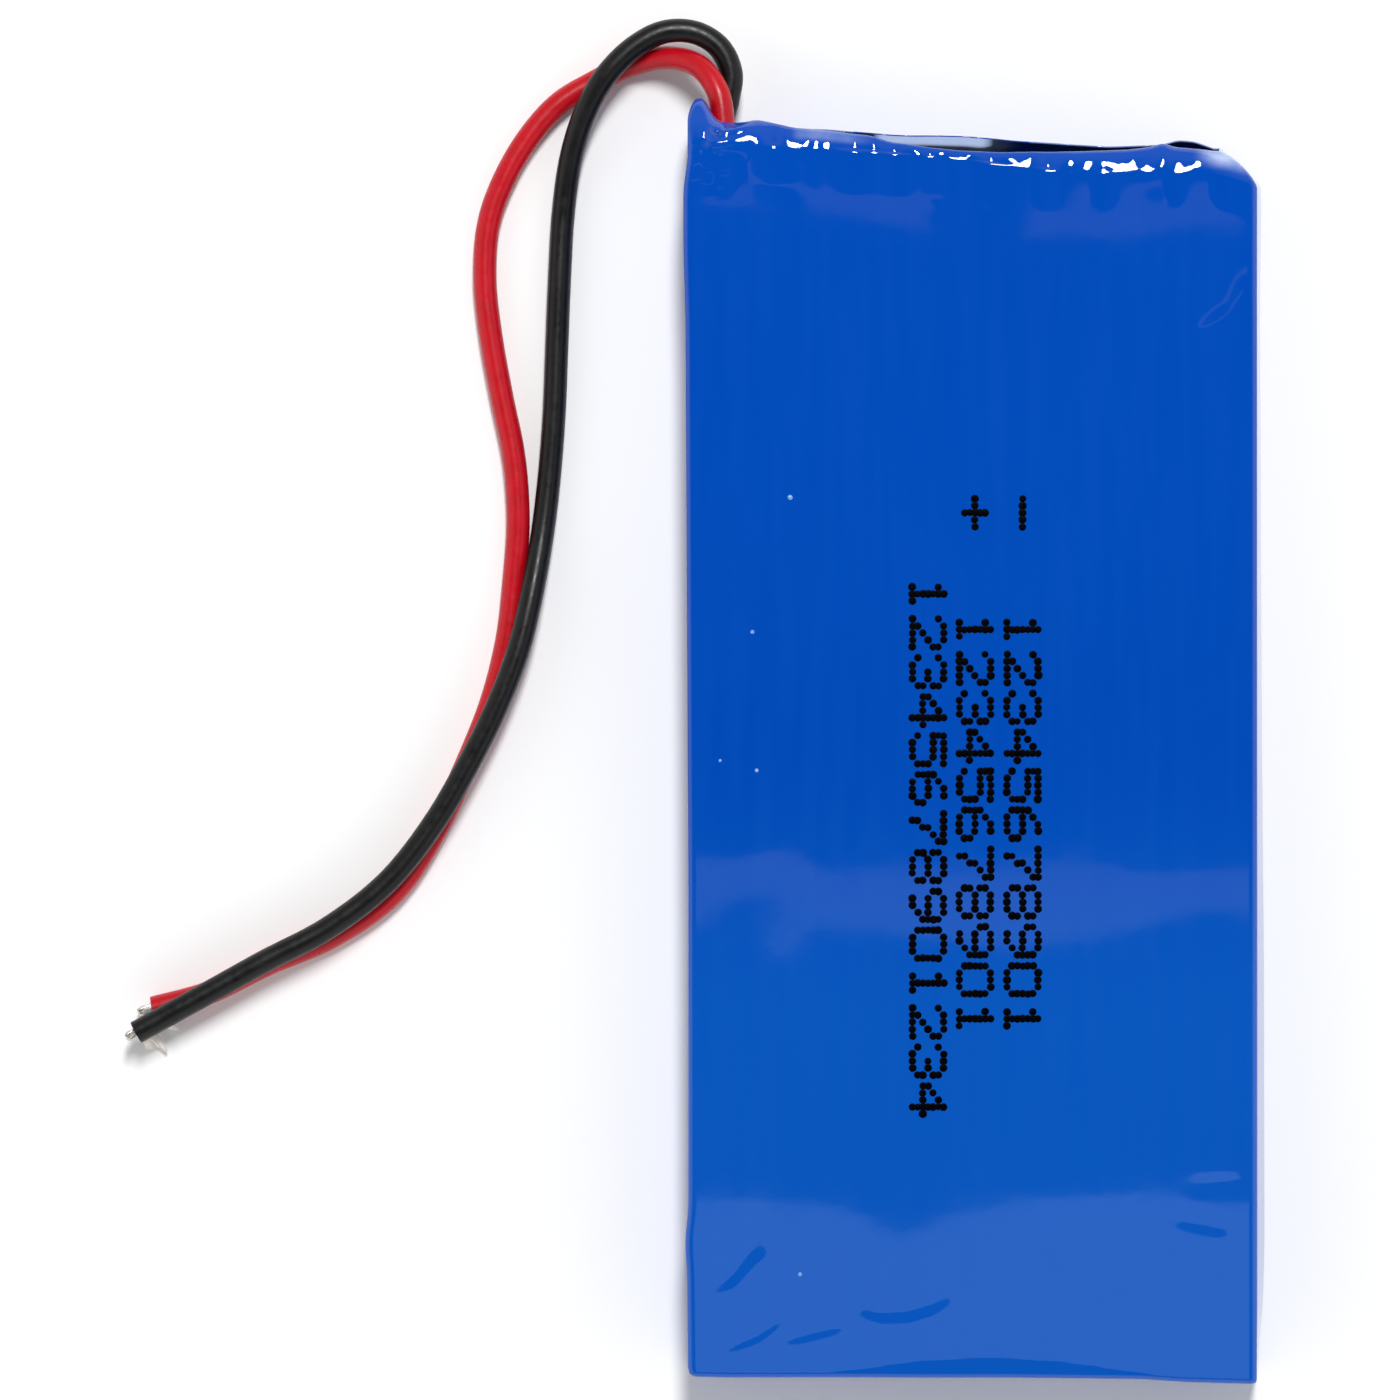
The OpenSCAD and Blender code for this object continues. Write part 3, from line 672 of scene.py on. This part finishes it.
def body_rings():
    """The long flat part. Its first fifth eases from the tail's outline to straight rings."""
    dented = np.linspace(0, 1, 52)[1:] * DENTED_LENGTH
    plain = DENTED_LENGTH + np.linspace(0, 1, 150)[1:] * (BODY_LENGTH - DENTED_LENGTH)
    for k in np.concatenate([dented, plain]):
        straight = smooth(0, 0.2, k / BODY_LENGTH)
        level = BODY_START + k

        def y_of(xs):
            bent = (tail_edge_y(xs) + TAIL_BEND_Y) * (1 - straight)
            return bent + level * straight + k * (1 - straight)

        yield *ring(
            -left_w(level), RIGHT,
            y_of, lambda xs: THICKNESS + top_relief(xs, y_of(xs)),
            y_of, lambda xs: 0.05 * np.abs(clouds(xs, y_of(xs), 15, 7.7)),
        ), NOT_PALE


def head_rings():
    """Flat up to each column's own bend, then an arc down, or up from below, to the open edge."""
    for j in range(1, HEAD_RINGS + 1):
        f = j / HEAD_RINGS
        run = min(f / FLAT_SHARE, 1.0)
        t = max(0.0, (f - FLAT_SHARE) / CURL_SHARE)
        arc = t * CURL

        def y_top(xs):
            flat_y = BODY_END + (bend_y(xs) - BODY_END) * run
            return flat_y + (edge_y(xs) - bend_y(xs)) * math.sin(arc) / math.sin(CURL)

        def z_top(xs):
            y = y_top(xs)
            fall = drop(xs) * (1 - math.cos(arc))
            gathers = head_relief(xs, y, run, smooth(0, 0.5, t))
            return THICKNESS + top_relief(xs, y) * (1 - t) - fall + gathers

        def y_low(xs):
            flat_y = BODY_END + (low_bend_y(xs) - BODY_END) * run
            curl_y = low_edge_y(xs) - low_bend_y(xs) - low_lean(xs)
            return flat_y + curl_y * math.sin(arc) / math.sin(CURL) + low_lean(xs) * smooth(0.6, 1, t)

        def z_low(xs):
            ripple = t * (0.12 * np.sin(2 * math.pi * xs / 3.7) + 0.1 * clouds(xs, xs * 0, 2.1, 8.8))
            rise = low_rise(xs) * (1 - math.cos(arc)) / (1 - math.cos(CURL))
            return rise * (0.55 + 0.45 * t) + ripple * t

        level = HEAD_FLAT_END * run + BODY_END * (1 - run)
        narrowing = smooth(0, 1, t) * 0.35 + t * 0.65
        x, y, z = ring(
            -left_w(level) + 0.6 * float(smooth(0.45, 1, t)), RIGHT - 2.75 * narrowing,
            y_top, z_top, y_low, z_low,
        )
        # where the film is pale: painted highlights at its right corner and on a spot on the left, its paler
        # rim, and painted glow on the inner face of the lower lip
        painted_highlight_right = smooth(15.5, 17.5, x) * smooth(0.15, 0.6, t) * smooth(2.5, 4.5, z)
        painted_highlight_patch = smooth(-13.2, -12.4, x) * smooth(-7.0, -9.5, x) * smooth(0.25, 0.5, t)
        painted_highlight_patch = painted_highlight_patch * (KIND == "top") * 0.25
        rim = smooth(0.93, 1.0, t) * 0.5 * np.isin(KIND, ("top", "low"))
        pale = np.maximum.reduce([painted_highlight_right * 0.8, painted_highlight_patch, rim * smooth(-15, -12, x)])
        lip = smooth(-9, -6.5, x) * smooth(4.0, 0.5, x) * smooth(0.62, 0.85, t) * (KIND == "low")
        yield x, y, z, np.where(lip > 0, -lip, pale)


def build_sleeve():
    rings, pale_rim_and_painted_light = [], []
    for x, y, z, pale in (*tail_rings(), *body_rings(), *head_rings()):
        shift = lower_shift(y) * (1 - z / THICKNESS) * smooth(2, 19, x)
        rings.append(np.stack([x + shift, y, np.maximum(z, 0.0)], 1))
        pale_rim_and_painted_light.append(pale)
    grid = np.array(rings)
    n, m = grid.shape[:2]
    faces = [
        (j * m + i, j * m + (i + 1) % m, (j + 1) * m + (i + 1) % m, (j + 1) * m + i)
        for j in range(n - 1) for i in range(m)
    ]
    obj = to_object("shrink_sleeve_film", grid.reshape(-1, 3), faces, FILM, "sleeve_film")
    # per-point paleness: a paler rim, painted highlights, and painted glow inside the lower lip
    layer = obj.data.attributes.new("pale_rim_and_painted_light", "FLOAT", "POINT")
    layer.data.foreach_set("value", np.array(pale_rim_and_painted_light).reshape(-1).astype(np.float32))
    wall = obj.modifiers.new("wall", "SOLIDIFY")
    wall.thickness = WALL * MM
    wall.offset = -1
    obj.data.materials.append(FILM_INSIDE)
    wall.material_offset = 1
    wall.material_offset_rim = 0
    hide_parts("shrink_sleeve")


build_sleeve()

# ---------------------------------------------------------------- ink and specks

FONT = {
    "0": ("01110", "10001", "10001", "10001", "10001", "10001", "01110"),
    "1": ("00100", "01100", "00100", "00100", "00100", "00100", "01110"),
    "2": ("01110", "10001", "00001", "00010", "00100", "01000", "11111"),
    "3": ("01110", "10001", "00001", "00110", "00001", "10001", "01110"),
    "4": ("00010", "00110", "01010", "10010", "11111", "00010", "00010"),
    "5": ("11111", "10000", "11110", "00001", "00001", "10001", "01110"),
    "6": ("00110", "01000", "10000", "11110", "10001", "10001", "01110"),
    "7": ("11111", "00001", "00010", "00100", "00100", "01000", "01000"),
    "8": ("01110", "10001", "10001", "01110", "10001", "10001", "01110"),
    "9": ("01110", "10001", "10001", "01111", "00001", "00010", "01100"),
    "-": ("00000", "00000", "00000", "11111", "00000", "00000", "00000"),
    "+": ("00000", "00100", "00100", "11111", "00100", "00100", "00000"),
}
CELL = 2.78
DOT_X = 0.50
DOT_Y = 0.37
DOT_SIDES = 10
# the row's middle in x, where it starts in y, and its characters
ROWS = [(3.4, 18.05, "-  12345678901"), (0.0, 18.05, "+  12345678901"), (-3.35, 12.25, "12345678901234")]
PIMPLES = [
    (-13.2, 17.9, 0.2), (-15.9, 8.3, 0.16), (-15.6, -1.6, 0.15), (-12.5, -37.6, 0.16), (-18.2, -0.9, 0.12),
]


def raised_dots(spots, levels):
    """Round dots on the film at (x, y, radius), built up through (height, share of the radius)."""
    verts, faces = [], []
    for x, y, r in spots:
        base = THICKNESS + float(top_relief(np.array([x]), np.array([y]))[0])
        first = len(verts)
        for height, size in levels:
            for k in range(DOT_SIDES):
                a = 2 * math.pi * k / DOT_SIDES
                verts.append((x + r * size * math.cos(a), y + r * size * math.sin(a), base + height))
        for layer in range(len(levels) - 1):
            a, b = first + layer * DOT_SIDES, first + (layer + 1) * DOT_SIDES
            for k in range(DOT_SIDES):
                n = (k + 1) % DOT_SIDES
                faces.append((a + k, a + n, b + n, b + k))
        faces.append(tuple(first + (len(levels) - 1) * DOT_SIDES + k for k in range(DOT_SIDES)))
        faces.append(tuple(first + k for k in range(DOT_SIDES))[::-1])
    return verts, faces


def ink_spots():
    """Where the ink dots go; each row reads towards the tail."""
    for middle_x, start_y, text in ROWS:
        for i, letter in enumerate(text):
            if letter == " ":
                continue
            for row, bits in enumerate(FONT[letter]):
                for col, bit in enumerate(bits):
                    if bit == "1":
                        wobble = Vector((middle_x * 3 + row * 7.3, i * 5.1 + col * 3.7, 0.5))
                        yield (
                            middle_x + (3 - row) * DOT_Y + 0.04 * noise.noise(wobble),
                            start_y - i * CELL - 0.25 - col * DOT_X
                            + 0.04 * noise.noise(wobble + Vector((9, 9, 9))),
                            0.285 + 0.05 * noise.noise(wobble * 1.7),
                        )


to_object("ink_dots", *raised_dots(ink_spots(), ((-0.02, 1.0), (0.006, 1.0), (0.012, 0.8))), INK)
# the pimples carry a pale, painted highlight colour
to_object("film_pimples", *raised_dots(PIMPLES, ((-0.02, 1.0), (0.02, 0.85), (0.045, 0.45))), PAINTED_HIGHLIGHT_PIMPLE)

# ---------------------------------------------------------------- light and floor

PANEL_Z = 0.71
WARM = (1, 0.95, 0.9)


def world_light():
    """White all round, dark overhead, and dimmer beyond the head."""
    world = bpy.data.worlds.new("studio")
    scene.world = world
    world.use_nodes = True
    tree = world.node_tree
    place = add_node(tree, "ShaderNodeTexCoord").outputs["Generated"]
    split = add_node(tree, "ShaderNodeSeparateXYZ", {0: place})
    up = add_node(
        tree, "ShaderNodeMapRange",
        {"Value": split.outputs["Z"], "From Min": 0.55, "From Max": 0.95, "To Min": 1.1, "To Max": 0.0},
        interpolation_type="SMOOTHSTEP",
    )
    ahead = add_node(
        tree, "ShaderNodeMapRange",
        {"Value": split.outputs["Y"], "From Min": 0.1, "From Max": 0.7, "To Min": 1.0, "To Max": 0.35},
        interpolation_type="SMOOTHSTEP",
    )
    factors = {0: up.outputs["Result"], 1: ahead.outputs["Result"]}
    both = add_node(tree, "ShaderNodeMath", factors, operation="MULTIPLY")
    tree.links.new(both.outputs[0], tree.nodes["Background"].inputs["Strength"])
    tree.nodes["Background"].inputs["Color"].default_value = (1, 1, 1, 1)


def panel(name, centre, size, radiance, target, colour=(1, 1, 1), turn=0, shape="RECTANGLE"):
    """A soft box: centre, size and target in metres, turned by some degrees about its axis."""
    light = bpy.data.lights.new(name, "AREA")
    light.shape = shape
    light.size, light.size_y = size
    light.energy = radiance * math.pi * size[0] * size[1]
    light.color = colour
    obj = bpy.data.objects.new(name, light)
    obj.location = centre
    aim = (Vector(target) - Vector(centre)).to_track_quat("-Z", "Y")
    obj.rotation_euler = (aim @ Quaternion((0, 0, 1), math.radians(turn))).to_euler()
    scene.collection.objects.link(obj)


def overhead(name, x, y, size, radiance, colour, turn=0):
    """A panel that faces straight down, seen as a reflection in the upper film."""
    panel(name, (x, y, PANEL_Z), size, radiance, (x, y, 0), colour, turn)


world_light()
panel("key", (0.03, 0.44, 0.80), (0.16, 0.36), 38, (0, 0, 0), shape="ELLIPSE")
overhead("window_left", -0.002, 0.0842, (0.038, 0.006), 0.32, WARM, -2)
overhead("window_right", 0.051, 0.0808, (0.040, 0.0065), 0.32, WARM, -3)
overhead("strip_middle", 0.025, -0.029, (0.16, 0.0095), 0.5, (0.8, 0.9, 1))
overhead("panel_tail", 0.025, -0.125, (0.16, 0.09), 1.05, (0.52, 0.78, 1))

floor_mesh = bpy.data.meshes.new("floor")
floor_mesh.from_pydata([(-3, -3, 0), (3, -3, 0), (3, 3, 0), (-3, 3, 0)], [], [(0, 1, 2, 3)])
floor_mesh.materials.append(finish_of("pale_floor", (0.90, 0.90, 0.90), (0.92, 0.92, 0.92), 6, (0.6, 0.8)))
floor = bpy.data.objects.new("floor", floor_mesh)
floor.location.z = -0.02 * MM
scene.collection.objects.link(floor)
